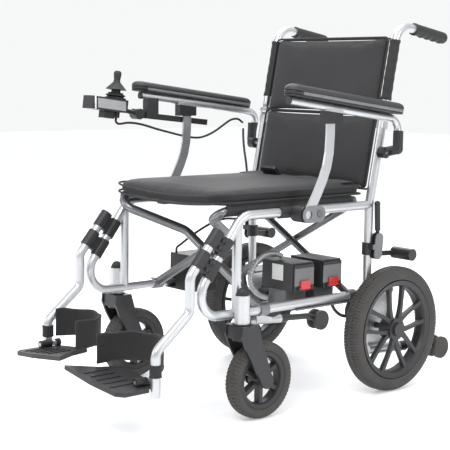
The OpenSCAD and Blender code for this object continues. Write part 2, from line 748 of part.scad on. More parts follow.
// Two plates with the pins of the brake's lever and shoe, on a clamp round the back post
module brake_housing() {
    for (x = [0, 5 + plate_gap]) across(brake_x + x, 5) {
        for (p = [brake_pivot, lever_pivot]) translate(p) circle(r = 14, $fn = 48);
        polygon([
            brake_pivot - [14, 0], brake_pivot + [14, 0], lever_pivot + [14, 0],
            lever_pivot - [14, 0]]);
    }
    difference() {
        union() {
            translate([frame_x, post_y, brake_pivot[1] - 4]) cylinder(r = 15, h = 30, $fn = 60);
            block([brake_x - 2, post_y - 11, brake_pivot[1] + 12],
                [brake_x + 10 + plate_gap, post_y - 3, brake_pivot[1] + 24]);
        }
        translate([frame_x, post_y, 300]) cylinder(r = tube_r + clamp_gap, h = 120, $fn = 60);
    }
    for (p = [brake_pivot, lever_pivot])
        rod([brake_x + 1, p[0], p[1]], [brake_x + 9 + plate_gap, p[0], p[1]], brake_pin_r);
}

module frame_fittings(s) color("black") on_side(s) {
    arm_latch();
    rail_saddle(-370);
    rail_saddle(-160);
    brake_housing();
    translate([caster_x, caster_y, barrel_z + barrel_h]) {
        cylinder(r = 15, h = 4, $fn = 60);
        translate([0, 0, 4]) difference() {
            sphere(r = 13, $fn = 48);
            translate([-20, -20, -20]) cube([40, 40, 20]);
        }
    }
}
module left_frame_fittings() frame_fittings(1);
module right_frame_fittings() frame_fittings(-1);

module arm_button(s) color("gray") on_side(s)
    wheel_part([strut_x, button_at[0], button_at[1]])
        cylinder(r = button_r, h = latch_x[1] - strut_x + 2, $fn = 48);
module left_arm_button() arm_button(1);
module right_arm_button() arm_button(-1);

brake_arm_x = brake_x + 5 + air_gap;
brake_arm_t = plate_gap - 2 * air_gap;

module brake_lever(s) color("black") on_side(s) difference() {
    union() {
        across(brake_arm_x, brake_arm_t) {
            translate(lever_pivot) circle(r = 9, $fn = 48);
            translate(lever_pivot - [4.5, 0]) square([9, 30]);
        }
        rod([brake_arm_x + brake_arm_t / 2, lever_pivot[0], lever_pivot[1] + 20],
            [brake_arm_x + brake_arm_t / 2, lever_pivot[0] - 4, lever_pivot[1] + 86], 7);
        translate([brake_arm_x + brake_arm_t / 2, lever_pivot[0] - 4, lever_pivot[1] + 86])
            sphere(r = 7.6, $fn = 40);
    }
    rod([brake_x, lever_pivot[0], lever_pivot[1]], [brake_x + 30, lever_pivot[0], lever_pivot[1]],
        brake_pin_r + run_gap);
}
module left_brake_lever() brake_lever(1);
module right_brake_lever() brake_lever(-1);

module brake_shoe(s) color("black") on_side(s) {
    difference() {
        across(brake_arm_x, brake_arm_t) {
            translate(brake_pivot) circle(r = 9, $fn = 48);
            polygon([brake_pivot - [0, 6], shoe_at - [0, 6], shoe_at + [0, 6], brake_pivot + [0, 6]]);
        }
        rod([brake_x, brake_pivot[0], brake_pivot[1]], [brake_x + 30, brake_pivot[0], brake_pivot[1]],
            brake_pin_r + run_gap);
    }
    rod([brake_x, shoe_at[0], shoe_at[1]],
        [rear_wheel_x + rear_tyre_w / 2 + 2, shoe_at[0], shoe_at[1]], shoe_r);
}
module left_brake_shoe() brake_shoe(1);
module right_brake_shoe() brake_shoe(-1);

// ---- Seat, back and belt ----

sling_z = seat_rail_z + tube_r + 0.3;
sling_t = 2.5;
cushion_z = sling_z + sling_t + 0.3;
cushion_front = -528;
cushion_r = 45;

module seat_sling() color("black") home()
    block([-seat_rail_x - 8, -500, sling_z], [seat_rail_x + 8, -90, sling_z + sling_t]);

module seat_cushion() color("black") home()
    translate([0, cushion_front, cushion_z]) linear_extrude(cushion_t) {
        rear = 16;
        for (x = [-1, 1]) {
            translate([x * (cushion_w / 2 - cushion_r), cushion_r]) circle(r = cushion_r, $fn = 60);
            translate([x * (cushion_w / 2 - rear), cushion_l - rear]) circle(r = rear, $fn = 48);
        }
        translate([cushion_r - cushion_w / 2, 0]) square([cushion_w - 2 * cushion_r, cushion_l]);
        translate([-cushion_w / 2, cushion_r]) square([cushion_w, cushion_l - cushion_r - rear]);
    }

module seat_belt() color("black") home() {
    z = cushion_z + cushion_t + 0.3;
    block([-cushion_w / 2 + 8, -112, z], [cushion_w / 2 - 8, -74, z + 2.5]);
    block([-112, -122, z + 2.8], [-58, -66, z + 16]);
}

// A panel of the back upholstery between two heights, with sleeves on the canes above the third
module back_panel(z0, z1, z2) home() {
    edge = frame_x - tube_r - air_gap;
    translate([0, cane_y(z0), z0]) rotate([-recline, 0, 0])
        block([-edge, -back_pad_t + 8, 0], [edge, 8, (z1 - z0) / cos(recline)]);
    if (z2 < z1) for (s = [-1, 1]) difference() {
        rod([s * frame_x, cane_y(z2), z2], [s * frame_x, cane_y(z1), z1], tube_r + 2);
        rod([s * frame_x, cane_y(z2 - 20), z2 - 20], [s * frame_x, cane_y(z1 + 20), z1 + 20],
            tube_r + air_gap);
    }
}
module lower_back_pad() color("black") back_panel(505, back_hinge_z - 1, back_hinge_z);
module upper_back_pad() color("black") back_panel(back_hinge_z + 1, 868, 725);

// ---- Batteries, dock and controller ----

module battery_dock() color("dimgray") home() {
    block([100, battery_y[0] - 6, dock_z - dock_t], [frame_x + 9, battery_y[1] + battery_w + 4, dock_z]);
    for (y = battery_y)
        block([battery_x + 24, y, dock_z], [battery_x + 83, y + battery_w, dock_top]);
}

module battery(y) color("black") home() {
    end_x = battery_x + battery_l - 6;
    block([battery_x, y, battery_z], [end_x, y + battery_w, battery_z + battery_h]);
    block([end_x, y + 2, battery_z + 1], [end_x + 6, y + battery_w - 2, battery_z + battery_h - 4]);
    for (k = [10, battery_w - 16])
        block([end_x + 6, y + k, battery_z + 3], [end_x + 12, y + k + 6, battery_z + 11]);
    rod([end_x + 9, y + 12, battery_z + 7], [end_x + 9, y + battery_w - 12, battery_z + 7],
        latch_pin_r);
}
module front_battery() battery(battery_y[0]);
module rear_battery() battery(battery_y[1]);

module battery_latch(y) color("red") home() difference() {
    x = battery_x + battery_l + 3;
    union() {
        rod([x, y + 16.4, battery_z + 7], [x, y + battery_w - 16.4, battery_z + 7], 2.8);
        block([x - 2.4, y + 18, battery_z + 7], [x + 2.4, y + battery_w - 18, battery_z + 26]);
    }
    rod([x, y, battery_z + 7], [x, y + battery_w, battery_z + 7], latch_pin_r + run_gap);
}
module front_battery_latch() battery_latch(battery_y[0]);
module rear_battery_latch() battery_latch(battery_y[1]);

// Drawn on the left and mirrored, because it hangs on the right-hand rail
module controller() color("black") on_side(-1) {
    block(controller_lo, controller_hi);
    block([112, -342, dock_z - dock_t], [178, -262, controller_lo[2]]);
    block([112, -342, dock_z - dock_t], [frame_x + 9, -262, dock_z]);
}

// ---- Joystick ----

// The joystick's own frame: origin at the box's rear end, Y back along the arm tube
module joy_frame() home() translate(joy_rear) rotate([-arm_slope, 0, 0]) children();

// Bar, clamp and knob that hold the joystick under the arm tube
module joystick_mount() home() {
    fall = atan2(mount_bar[0][2] - mount_bar[1][2], mount_bar[1][1] - mount_bar[0][1]);
    translate(mount_bar[0]) rotate([-fall, 0, 0])
        block([-mount_bar_x, 0, -mount_bar_z], [mount_bar_x, norm(mount_bar[1] - mount_bar[0]), mount_bar_z]);
    difference() {
        block([-282, -373, 666], [-262, -337, 718]);
        rod([-arm_front[0], arm_front[1], arm_front[2]], [-arm_rear[0], arm_rear[1], arm_rear[2]], arm_r);
    }
    rod(mount_knob - [16, 0, 0], mount_knob + [12, 0, 0], 14);
    rod(mount_knob, [joy_x, joy_rear[1] - 8, joy_rear[2] - 6], 6);
}

module joystick_box() color("black") {
    joystick_mount();
    joy_frame() joystick_case();
}
module joystick_case() {
    w = joystick_w / 2;
    difference() {
        translate([0, 0, -box_h / 2]) linear_extrude(box_h) {
            translate([-w, 10 - joystick_l]) square([joystick_w, joystick_l - 14]);
            for (x = [-w + 10, w - 10]) translate([x, 10 - joystick_l]) circle(r = 10, $fn = 40);
            translate([10 - w, -joystick_l]) square([joystick_w - 20, 20]);
            for (x = [-w + 4, w - 4]) translate([x, -4]) circle(r = 4, $fn = 32);
            translate([4 - w, -10]) square([joystick_w - 8, 10]);
        }
        translate([0, stick_y, -6]) cylinder(r = well_r, h = 40, $fn = 60);
        rod([-w + 3, stick_y, stick_z], [w - 3, stick_y, stick_z], gimbal_r + run_gap);
    }
    block([-12, -62, -box_h / 2 - 18], [12, -30, -box_h / 2]);
    translate([0, -16, -box_h / 2 - 14]) cylinder(r = 8, h = 14, $fn = 40);
    translate([0, stick_y, box_h / 2]) rotate_extrude($fn = 60) polygon([
        [17, 0], [27, 0], [28, 3], [20, 6], [25, 9], [25, 11], [19, 14], [20, 16], [17, 16]]);
}

module joystick_gimbal() color("gray") joy_frame() translate([0, stick_y, stick_z]) difference() {
    union() {
        cube([8, 8, 8], center = true);
        rod([-21, 0, 0], [21, 0, 0], gimbal_r);
    }
    rod([0, -9, 0], [0, 9, 0], cross_pin_r + run_gap);
}

module joystick_stick() color("black") joy_frame() translate([0, stick_y, stick_z]) {
    rod([0, -8, 0], [0, 8, 0], cross_pin_r);
    for (y = [-8, 4.6]) block([-3, y, -3], [3, y + 3.4, 9]);
    translate([0, 0, 8]) cylinder(r = 8.5, h = 3, $fn = 48);
    translate([0, 0, 10]) cylinder(r = 4, h = 30, $fn = 40);
    translate([0, 0, 32]) rotate_extrude($fn = 60) polygon([
        [0, 4], [20, 0], [27, 0], [9, 19], [8, 24], [10, 40], [9, 44], [6, 47], [0, 48]]);
}

// ---- Leads ----

module arm_lead() color("black") cord(arm_lead_route, lead_d / 2);
module frame_lead() color("black") cord(frame_lead_route, lead_d / 2);
module battery_wiring() color("black") {
    cord(harness_route, 7, 10);
    cord(motor_route, 4);
}

left_frame();
right_frame();
brace_a();
brace_b();
left_motor();
right_motor();
left_caster_fork();
right_caster_fork();
left_caster_rim();
right_caster_rim();
left_caster_tyre();
right_caster_tyre();
left_rear_rim();
right_rear_rim();
left_rear_tyre();
right_rear_tyre();
left_antitip_wheel();
right_antitip_wheel();
left_legrest();
right_legrest();
left_legrest_clamps();
right_legrest_clamps();
left_footplate();
right_footplate();
left_heel_loop();
right_heel_loop();
left_upper_cane();
right_upper_cane();
left_push_grip();
right_push_grip();
left_arm_tube();
right_arm_tube();
left_arm_pad();
right_arm_pad();
left_frame_fittings();
right_frame_fittings();
left_arm_button();
right_arm_button();
left_brake_lever();
right_brake_lever();
left_brake_shoe();
right_brake_shoe();
seat_sling();
seat_cushion();
seat_belt();
lower_back_pad();
upper_back_pad();
battery_dock();
front_battery();
rear_battery();
front_battery_latch();
rear_battery_latch();
controller();
joystick_box();
joystick_gimbal();
joystick_stick();
arm_lead();
frame_lead();
battery_wiring();
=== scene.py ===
import math

import bmesh
import bpy
from mathutils import Matrix, Vector


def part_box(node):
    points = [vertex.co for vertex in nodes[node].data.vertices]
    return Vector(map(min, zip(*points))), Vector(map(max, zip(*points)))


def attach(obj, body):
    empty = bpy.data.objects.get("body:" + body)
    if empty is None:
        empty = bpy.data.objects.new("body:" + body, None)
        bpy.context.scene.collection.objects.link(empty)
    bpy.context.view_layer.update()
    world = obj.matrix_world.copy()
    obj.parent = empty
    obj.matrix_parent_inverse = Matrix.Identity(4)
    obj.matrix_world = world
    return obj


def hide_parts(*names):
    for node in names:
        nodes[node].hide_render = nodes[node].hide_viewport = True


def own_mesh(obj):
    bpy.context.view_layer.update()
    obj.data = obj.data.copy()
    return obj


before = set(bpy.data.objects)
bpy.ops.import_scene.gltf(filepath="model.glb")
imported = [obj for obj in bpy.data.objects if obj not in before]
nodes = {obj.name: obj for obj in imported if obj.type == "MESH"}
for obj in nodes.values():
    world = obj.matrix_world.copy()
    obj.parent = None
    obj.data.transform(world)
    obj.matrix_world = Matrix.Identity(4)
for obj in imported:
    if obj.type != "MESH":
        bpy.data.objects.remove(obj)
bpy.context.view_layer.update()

SIDES = {"left": 1, "right": -1}


# ---- Studio ----
# A pale seamless floor, soft lights all round and one camera, low and to the
# front of the rider's left side. None of it is part of the wheelchair.

def aim(place, turn, pitch, roll):
    """Matrix of a camera that looks along a turn about Z, tipped down and rolled, in degrees."""
    turn, pitch, roll = (math.radians(a) for a in (turn, pitch, roll))
    back = Vector((math.sin(turn) * math.cos(pitch), -math.cos(turn) * math.cos(pitch), math.sin(pitch)))
    right = Vector((math.cos(turn), math.sin(turn), 0))
    up = back.cross(right)
    across = right * math.cos(roll) + up * math.sin(roll)
    upright = up * math.cos(roll) - right * math.sin(roll)
    m = Matrix((across, upright, back)).transposed().to_4x4()
    m.translation = place
    return m


CAMERA_AT = Vector((2.1631, -1.9495, 0.7718))
CAMERA_TURN, CAMERA_PITCH, CAMERA_ROLL = 48.8, 7.1, 0.9
FLOOR_HALF = 12
LAMPS_AIM = Vector((0, 0, 0.45))

lens = bpy.data.cameras.new("view")
lens.lens = 94.1
lens.sensor_width = 36
lens.clip_end = 50
camera = bpy.data.objects.new("view", lens)
bpy.context.scene.collection.objects.link(camera)
camera.matrix_world = aim(CAMERA_AT, CAMERA_TURN, CAMERA_PITCH, CAMERA_ROLL)
bpy.context.scene.camera = camera

for name, place, power, size in (
        ("key", (1.2, -2.4, 3.0), 62, 1.5), ("fill", (3.2, 0.9, 1.6), 26, 1.1),
        ("top", (-0.3, 0.2, 3.4), 55, 2.2), ("rim", (-2.6, 1.8, 2.0), 42, 1.4),
        ("front", (-1.8, -2.8, 1.4), 16, 1.2)):
    lamp = bpy.data.lights.new(name, "AREA")
    lamp.energy = power
    lamp.size = size
    light = bpy.data.objects.new(name, lamp)
    bpy.context.scene.collection.objects.link(light)
    light.location = place
    light.rotation_euler = (LAMPS_AIM - Vector(place)).to_track_quat("-Z", "Y").to_euler()

bpy.context.scene.view_settings.view_transform = "Standard"


class Socket:
    """One socket of a material's nodes. Sums and products of it add their own Math nodes."""

    def __init__(self, tree, socket=None):
        self.tree, self.socket = tree, socket

    def node(self, kind, settings=None, inputs=None, out=0):
        """A new node of any kind: its settings first, then the values or links of its sockets."""
        made = self.tree.nodes.new("ShaderNode" + kind)
        for key, value in (settings or {}).items():
            if key == "stops":
                for stop, (at, colour) in zip(made.color_ramp.elements, value):
                    stop.position, stop.color = at, (*colour, 1)
            else:
                setattr(made, key, value)
        for key, value in (inputs or {}).items():
            if isinstance(value, Socket):
                self.tree.links.new(value.socket, made.inputs[key])
            else:
                made.inputs[key].default_value = value
        return Socket(self.tree, made.outputs[out])

    def maths(self, operation, *values):
        return self.node("Math", {"operation": operation}, dict(enumerate(values)))

    def __add__(self, other):
        return self.maths("ADD", self, other)

    __radd__ = __add__

    def __mul__(self, other):
        return self.maths("MULTIPLY", self, other)

    __rmul__ = __mul__

    def __sub__(self, other):
        return self.maths("SUBTRACT", self, other)

    def __rsub__(self, other):
        return self.maths("SUBTRACT", other, self)

    def __gt__(self, other):
        return self.maths("GREATER_THAN", self, other)

    def __lt__(self, other):
        return self.maths("LESS_THAN", self, other)

    def between(self, low, high):
        return (self > low) * (self < high)

    def wave(self):
        return self.maths("SINE", self)

    def distance(self):
        """How far this value is from 0."""
        return self.maths("ABSOLUTE", self)

    def at_most(self, limit):
        return self.maths("MINIMUM", self, limit)

    def mix(self, first, second):
        """The first colour where this value is 0 and the second where it is 1."""
        picks = {6: first, 7: second, 0: self}
        picks = {k: v if isinstance(v, Socket) or k == 0 else (*v, 1) for k, v in picks.items()}
        return self.node("Mix", {"data_type": "RGBA"}, picks, 2)


def finish(name, make, **constants):
    """A material. make(s) gets a Socket and returns what varies over the surface, by socket name."""
    material = bpy.data.materials.new(name)
    material.use_nodes = True
    tree = material.node_tree
    shader = tree.nodes["Principled BSDF"]
    for key, value in constants.items():
        shader.inputs[key.replace("_", " ")].default_value = value
    for key, value in make(Socket(tree)).items():
        tree.links.new(value.socket, shader.inputs[key])
    return material


def position(s):
    return s.node("TexCoord", out=3)


def axes(s):
    """The place on the chair in metres: X to the rider's left, Y to the back and Z up."""
    at = s.node("SeparateXYZ", inputs={0: position(s)})
    split = at.socket.node
    return [Socket(s.tree, split.outputs[i]) for i in range(3)]


def speckle(s, scale, detail=3):
    """Soft random patches from 0 to 1, about 1 / scale metres across."""
    return s.node("TexNoise", inputs={"Vector": position(s), "Scale": scale, "Detail": detail})


def bump(s, height, strength, distance):
    return s.node("Bump", inputs={"Height": height, "Strength": strength, "Distance": distance})


def pale_floor(s):
    cloud = speckle(s, 2.0)
    return {"Base Color": cloud.mix((0.78, 0.785, 0.79), (0.82, 0.82, 0.825)),
            "Roughness": cloud * 0.1 + 0.6}


# The room is white where the camera sees it, and darker from waist height down in
# reflections, so that the round tubes keep their bright and dark streaks.
world = bpy.data.worlds.new("room")
world.use_nodes = True
room = Socket(world.node_tree)
seen = room.node("LightPath")
way = room.node("TexCoord")
height = room.node("SeparateXYZ", inputs={0: way}, out=2)
glow = room.node("ValToRGB", {"stops": [(0.3, (0.16, 0.16, 0.165)), (0.8, (0.9, 0.91, 0.93))]},
                 {0: height * 0.5 + 0.5})
backdrop = world.node_tree.nodes["Background"]
world.node_tree.links.new(seen.mix(glow, (0.93, 0.935, 0.94)).socket, backdrop.inputs["Color"])
backdrop.inputs["Strength"].default_value = 1.0
bpy.context.scene.world = world

floor_mesh = bpy.data.meshes.new("floor")
floor_corners = [(x * FLOOR_HALF, y * FLOOR_HALF, 0) for x, y in ((-1, -1), (1, -1), (1, 1), (-1, 1))]
floor_mesh.from_pydata(floor_corners, [], [(0, 1, 2, 3)])
floor = bpy.data.objects.new("floor", floor_mesh)
bpy.context.scene.collection.objects.link(floor)
floor_mesh.materials.append(finish("floor_paint", pale_floor, Emission_Color=(1, 1, 1, 1),
                                   Emission_Strength=0.3))


def dress(material, *names):
    """Gives a CAD node its finish."""
    for name in names:
        part = nodes[name]
        part.data.materials.clear()
        part.data.materials.append(material)


def both(*names):
    return [f"{side}_{name}" for side in SIDES for name in names]


def piece(name, points, faces, material, body, replaced=(), smooth=True):
    """A mesh piece in place on the chair: rides on a body and takes a finish."""
    mesh = bpy.data.meshes.new(name)
    mesh.from_pydata([tuple(p) for p in points], [], faces)
    mesh.materials.append(material)
    if smooth:
        mesh.shade_smooth()
    made = bpy.data.objects.new(name, mesh)
    bpy.context.scene.collection.objects.link(made)
    shell = bmesh.new()
    shell.from_mesh(mesh)
    bmesh.ops.recalc_face_normals(shell, faces=shell.faces)
    shell.to_mesh(mesh)
    shell.free()
    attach(made, body)
    if replaced:
        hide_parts(*replaced)
    return made


def skin(rings, n, closed=False):
    """Faces between rings of n points each: a closed loop of them, or a tube with capped ends."""
    faces = []
    for i in range(rings if closed else rings - 1):
        j = (i + 1) % rings
        faces += [(i * n + k, i * n + (k + 1) % n, j * n + (k + 1) % n, j * n + k) for k in range(n)]
    if not closed:
        faces += [tuple(range(n))[::-1], tuple((rings - 1) * n + k for k in range(n))]
    return faces


# ---- Cables ----
# The joystick's round lead runs under the right arm and down the back post to the
# controller, held all the way. The batteries feed the motors through a corrugated
# silver conduit, and the left motor has a short rubber cable of its own.

LEAD_R = 0.003
HARNESS_R = 0.007
MOTOR_CABLE_R = 0.004
ARM_LEAD = [
    (-263, -196.6, 669), (-263, -197.5, 660), (-263.5, -191, 654.5), (-264, -180, 654),
    (-265, -160, 656), (-266, -140, 655), (-267, -118, 652), (-268, -95, 647), (-270, -60, 638),
    (-270, -20, 629), (-271, 17, 621), (-271, 50, 615), (-271, 82, 613), (-270, 112, 619),
    (-268, 142, 632), (-265, 168, 648), (-262, 190, 660), (-258, 210, 662), (-252, 224, 652)]
FRAME_LEAD = [
    (-248, 222, 636), (-240, 216, 610), (-231, 212, 580), (-222, 210, 552), (-217, 210, 526),
    (-215, 210, 506), (-212, 210, 492), (-204, 209, 484.5), (-193, 208, 480), (-185, 206, 470),
    (-180, 203, 456), (-173, 197, 438), (-165, 184, 425), (-152, 160, 414), (-136, 125, 408),
    (-120, 85, 408), (-110, 45, 412), (-110, 8, 408), (-122, -22, 392), (-142, -46, 370),
    (-162, -60, 350), (-175, -66, 338), (-177, -66, 325.3)]
HARNESS = [
    (132, 16, 345.4), (120, 2, 353), (108, -20, 350), (100, -40, 334), (97, -54, 308),
    (99, -58, 284), (104, -50, 266), (112, -36, 252), (122, -21.5, 246)]
MOTOR_CABLE = [
    (200, 122, 225), (204, 128, 212), (210, 140, 200), (214, 156, 195), (214, 172, 198),
    (210, 188, 207), (204, 204, 214), (196, 220, 215), (186, 236, 211), (176, 248, 204),
    (171, 254, 199)]


def curve_through(points, steps):
    """Points in metres on a smooth curve through the given ones."""
    p = [Vector(q) / 1000 for q in points]
    p = [2 * p[0] - p[1]] + p + [2 * p[-1] - p[-2]]
    line = []
    for i in range(1, len(p) - 2):
        for k in range(steps):
            t = k / steps
            a, b, c, d = p[i - 1:i + 3]
            line.append(0.5 * (2 * b + (c - a) * t + (2 * a - 5 * b + 4 * c - d) * t * t
                               + (3 * b - a - 3 * c + d) * t ** 3))
    return line + [p[-2]]


def sweep(line, section, closed=False):
    """Points and faces of a tube: section(i) gives the outline at point i, in metres."""
    points = []
    count = len(line)
    side = None
    for i, at in enumerate(line):
        ahead = line[(i + 1) % count] if closed else line[min(i + 1, count - 1)]
        behind = line[i - 1] if closed or i else line[0]
        along = (ahead - behind).normalized()
        if side is None:
            side = along.orthogonal().normalized()
        side = (side - along * side.dot(along)).normalized()
        other = along.cross(side)
        points += [at + side * u + other * v for u, v in section(i)]
    return points, skin(count, len(section(0)), closed)


def ring(radius, sides=12):
    """A round outline, as (x, y) about its centre."""
    turns = [2 * math.pi * k / sides for k in range(sides)]
    return [(radius * math.cos(a), radius * math.sin(a)) for a in turns]


def cable_jacket(s):
    grain = speckle(s, 900)
    return {"Base Color": speckle(s, 30).mix((0.012, 0.012, 0.013), (0.03, 0.03, 0.031)),
            "Roughness": grain * 0.2 + 0.42, "Normal": bump(s, grain, 0.15, 0.0004)}


def conduit(s):
    grain = speckle(s, 500)
    return {"Base Color": speckle(s, 60).mix((0.34, 0.35, 0.36), (0.5, 0.51, 0.52)),
            "Roughness": grain * 0.2 + 0.3, "Normal": bump(s, grain, 0.1, 0.0004)}


jacket = finish("cable_jacket", cable_jacket)
conduit_skin = finish("conduit_skin", conduit, Metallic=0.55)


def lay_cord(name, route, radius, body, material, replaced, corrugated=False):
    """A cord along its route. Every other pair of steps of a corrugated one is a groove."""
    line = curve_through(route, 14 if corrugated else 6)

    def section(i):
        return ring(radius * (0.86 + 0.14 * (i % 4 in (0, 1)) if corrugated else 1))

    points, faces = sweep(line, section)
    made = piece(name, points, faces, material, body, replaced)
    length = sum((b - a).length for a, b in zip(line, line[1:]))


lay_cord("lead_along_arm", ARM_LEAD, LEAD_R, "right_arm", jacket, ("arm_lead",))
lay_cord("lead_to_controller", FRAME_LEAD, LEAD_R, "right_side", jacket, ("frame_lead",))
lay_cord("battery_conduit", HARNESS, HARNESS_R, "left_side", conduit_skin, ("battery_wiring",),
         corrugated=True)
lay_cord("motor_cable", MOTOR_CABLE, MOTOR_CABLE_R, "left_side", jacket, ())


# ---- Steel frame ----
# Bent round steel tube with a satin silver powder coat: the two side frames, the
# legrests, the upper canes and the arms. The folding cross brace and its bolts
# are the same tube in a darker gray.

SILVER = (0.66, 0.67, 0.685)
SILVER_SHADE = (0.54, 0.55, 0.56)
SLEEVE_BLACK = (0.016, 0.016, 0.017)
ARM_FALL = 0.1196


def powder_coat(light):
    def make(s):
        orange_peel = speckle(s, 420, 4)
        drift = speckle(s, 7)
        low = tuple(0.82 * c for c in light)
        return {"Base Color": drift.mix(low, light), "Roughness": speckle(s, 60) * 0.16 + 0.26,
                "Normal": bump(s, orange_peel, 0.12, 0.0005)}
    return make


silver_coat = finish("silver_powder_coat", powder_coat(SILVER), Metallic=0.85, Coat_Weight=0.25,
                     Coat_Roughness=0.2)
dark_coat = finish("gray_powder_coat", powder_coat((0.24, 0.245, 0.255)), Metallic=0.75,
                   Coat_Weight=0.2, Coat_Roughness=0.25)
dress(silver_coat, *both("legrest", "upper_cane"))


def part_black_silver(s, black):
    """The silver coat, with black plastic where the mask says."""
    coat = speckle(s, 7).mix(SILVER_SHADE, SILVER)
    grain = speckle(s, 420, 4)
    return {"Base Color": black.mix(coat, SLEEVE_BLACK), "Metallic": 0.85 - black * 0.85,
            "Roughness": speckle(s, 60) * 0.16 + 0.26 + black * 0.12,
            "Normal": bump(s, grain, 0.12, 0.0005)}


def frame_finish(s):
    """The silver side frame; the rear end of its anti-tip arm is a black sleeve."""
    y, z = axes(s)[1:]
    return part_black_silver(s, (z < 0.12) * (y > 0.35))


dress(finish("frame_finish", frame_finish, Coat_Weight=0.25, Coat_Roughness=0.2), *both("frame"))


def arm_finish(s):
    """The silver tube with its black plug, its black bar bracket and its black elbow sleeve."""
    y, z = axes(s)[1:]
    underside = 0.7028 - y * ARM_FALL
    bracket = (z < underside) * (z > 0.672) * y.between(0.0, 0.068)
    elbow = (z < 0.652) * (y > 0.236)
    plug = y < -0.1115
    return part_black_silver(s, (bracket + elbow + plug).at_most(1.0))


dress(finish("arm_tube_finish", arm_finish), *both("arm_tube"))
dress(dark_coat, "brace_a", "brace_b")


# ---- Motors ----
# A cast drum on each rear axle that holds the motor and its gears, painted in
# satin black and closed by a flat cover.

def black_paint(s):
    grain = speckle(s, 260, 4)
    return {"Base Color": speckle(s, 9).mix((0.014, 0.014, 0.015), (0.034, 0.034, 0.036)),
            "Roughness": grain * 0.22 + 0.28, "Normal": bump(s, grain, 0.2, 0.0006)}


black_steel = finish("satin_black_paint", black_paint, Metallic=0.2, Coat_Weight=0.15)
dress(black_steel, *both("motor", "brake_shoe", "caster_fork"))


# ---- Wheels ----
# One-piece moulded nylon wheels in dark gray with pairs of splayed spokes, and
# puncture-proof tyres with smooth, slightly dusty walls and a fine tread.

REAR_AXLE = Vector((0.261, 0.275, 0.157))
CASTER_AXLE = Vector((0.239, -0.155, 0.090))
TREAD_PITCH = {"rear": 120, "caster": 60}
TREAD_CUT = 0.0022


def moulded_gray(s):
    grain = speckle(s, 300, 4)
    return {"Base Color": speckle(s, 12).mix((0.016, 0.016, 0.017), (0.036, 0.036, 0.038)),
            "Roughness": grain * 0.25 + 0.33, "Normal": bump(s, grain, 0.2, 0.0005)}


def tyre_rubber(s):
    dust = speckle(s, 24, 5)
    fine = speckle(s, 500, 3)
    return {"Base Color": dust.mix((0.028, 0.027, 0.026), (0.066, 0.061, 0.057)),
            "Roughness": fine * 0.2 + 0.6, "Normal": bump(s, fine, 0.3, 0.0006)}


wheel_nylon = finish("wheel_nylon", moulded_gray)
tyre_skin = finish("tyre_rubber", tyre_rubber)
dress(wheel_nylon, *both("rear_rim", "caster_rim"))
dress(tyre_skin, *both("antitip_wheel"))


def tyre(side, kind, axle):
    """A lathed tyre with real tread blocks on its crown and shoulders."""
    low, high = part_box(f"{side}_{kind}_tyre")
    rim_low, rim_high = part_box(f"{side}_{kind}_rim")
    half = (high[0] - low[0]) / 2
    inner = (rim_high[2] - rim_low[2]) / 2 - 0.001
    wall = (high[2] - low[2]) / 2 - inner
    centre = Vector((SIDES[side] * axle.x, axle.y, axle.z))
    turns = TREAD_PITCH[kind] * 4
    profile = [(-0.62, 0.0, 0), (-0.86, 0.12, 0), (-0.98, 0.32, 0), (-1.0, 0.5, 0), (-0.965, 0.66, 0),
               (-0.9, 0.78, 1), (-0.8, 0.88, 1), (-0.66, 0.945, 1), (-0.63, 0.93, 0), (-0.5, 0.955, 0),
               (-0.47, 0.985, 1), (-0.2, 1.0, 1), (-0.17, 0.97, 0), (0.0, 0.975, 0)]
    profile += [(-x, r, block) for x, r, block in profile[-2::-1]]
    points = []
    for k in range(turns):
        a = 2 * math.pi * k / turns
        for x, r, block in profile:
            groove = block and (k + (2 if x > 0 else 0)) % 4 == 3
            radius = inner + wall * r - (TREAD_CUT if groove else 0)
            points.append(centre + Vector((half * x, radius * math.cos(a), radius * math.sin(a))))
    piece(f"{side}_{kind}_tyre_tread", points, skin(turns, len(profile), closed=True), tyre_skin,
          f"{side}_{kind}_wheel", (f"{side}_{kind}_tyre",), smooth=False)


for side in SIDES:
    tyre(side, "rear", REAR_AXLE)
    tyre(side, "caster", CASTER_AXLE)


# ---- Footplates, clamps and fittings ----
# Injection-moulded black nylon with a fine grain: the ribbed footplates, the
# legrest clamps, the armrest latches and the brake housings.

def moulded_black(s):
    grain = speckle(s, 340, 4)
    return {"Base Color": speckle(s, 11).mix((0.010, 0.010, 0.011), (0.026, 0.026, 0.028)),
            "Roughness": grain * 0.25 + 0.38, "Normal": bump(s, grain, 0.25, 0.0005)}


def moulded_light(s):
    grain = speckle(s, 340, 4)
    return {"Base Color": speckle(s, 14).mix((0.1, 0.102, 0.107), (0.15, 0.152, 0.158)),
            "Roughness": grain * 0.25 + 0.35, "Normal": bump(s, grain, 0.2, 0.0005)}


black_nylon = finish("black_nylon", moulded_black)
gray_nylon = finish("gray_nylon", moulded_light)
dress(black_nylon, *both("footplate", "legrest_clamps", "brake_lever"), "controller")


def fitting_finish(s):
    """Black nylon, with the gray outer plates of the armrest latch and the brake housing."""
    x, y = axes(s)[:2]
    out = x.distance()
    plate = ((out > 0.2668) * (y < 0.1) + out.between(0.2395, 0.2418) * (y > 0.2)).at_most(1.0)
    grain = speckle(s, 340, 4)
    black = speckle(s, 11).mix((0.012, 0.012, 0.013), (0.028, 0.028, 0.03))
    gray = speckle(s, 14).mix((0.15, 0.152, 0.158), (0.22, 0.222, 0.23))
    return {"Base Color": plate.mix(black, gray), "Roughness": grain * 0.25 + 0.36,
            "Normal": bump(s, grain, 0.22, 0.0005)}


dress(finish("frame_fitting_finish", fitting_finish), *both("frame_fittings"))
dress(gray_nylon, *both("arm_button"), "battery_dock")


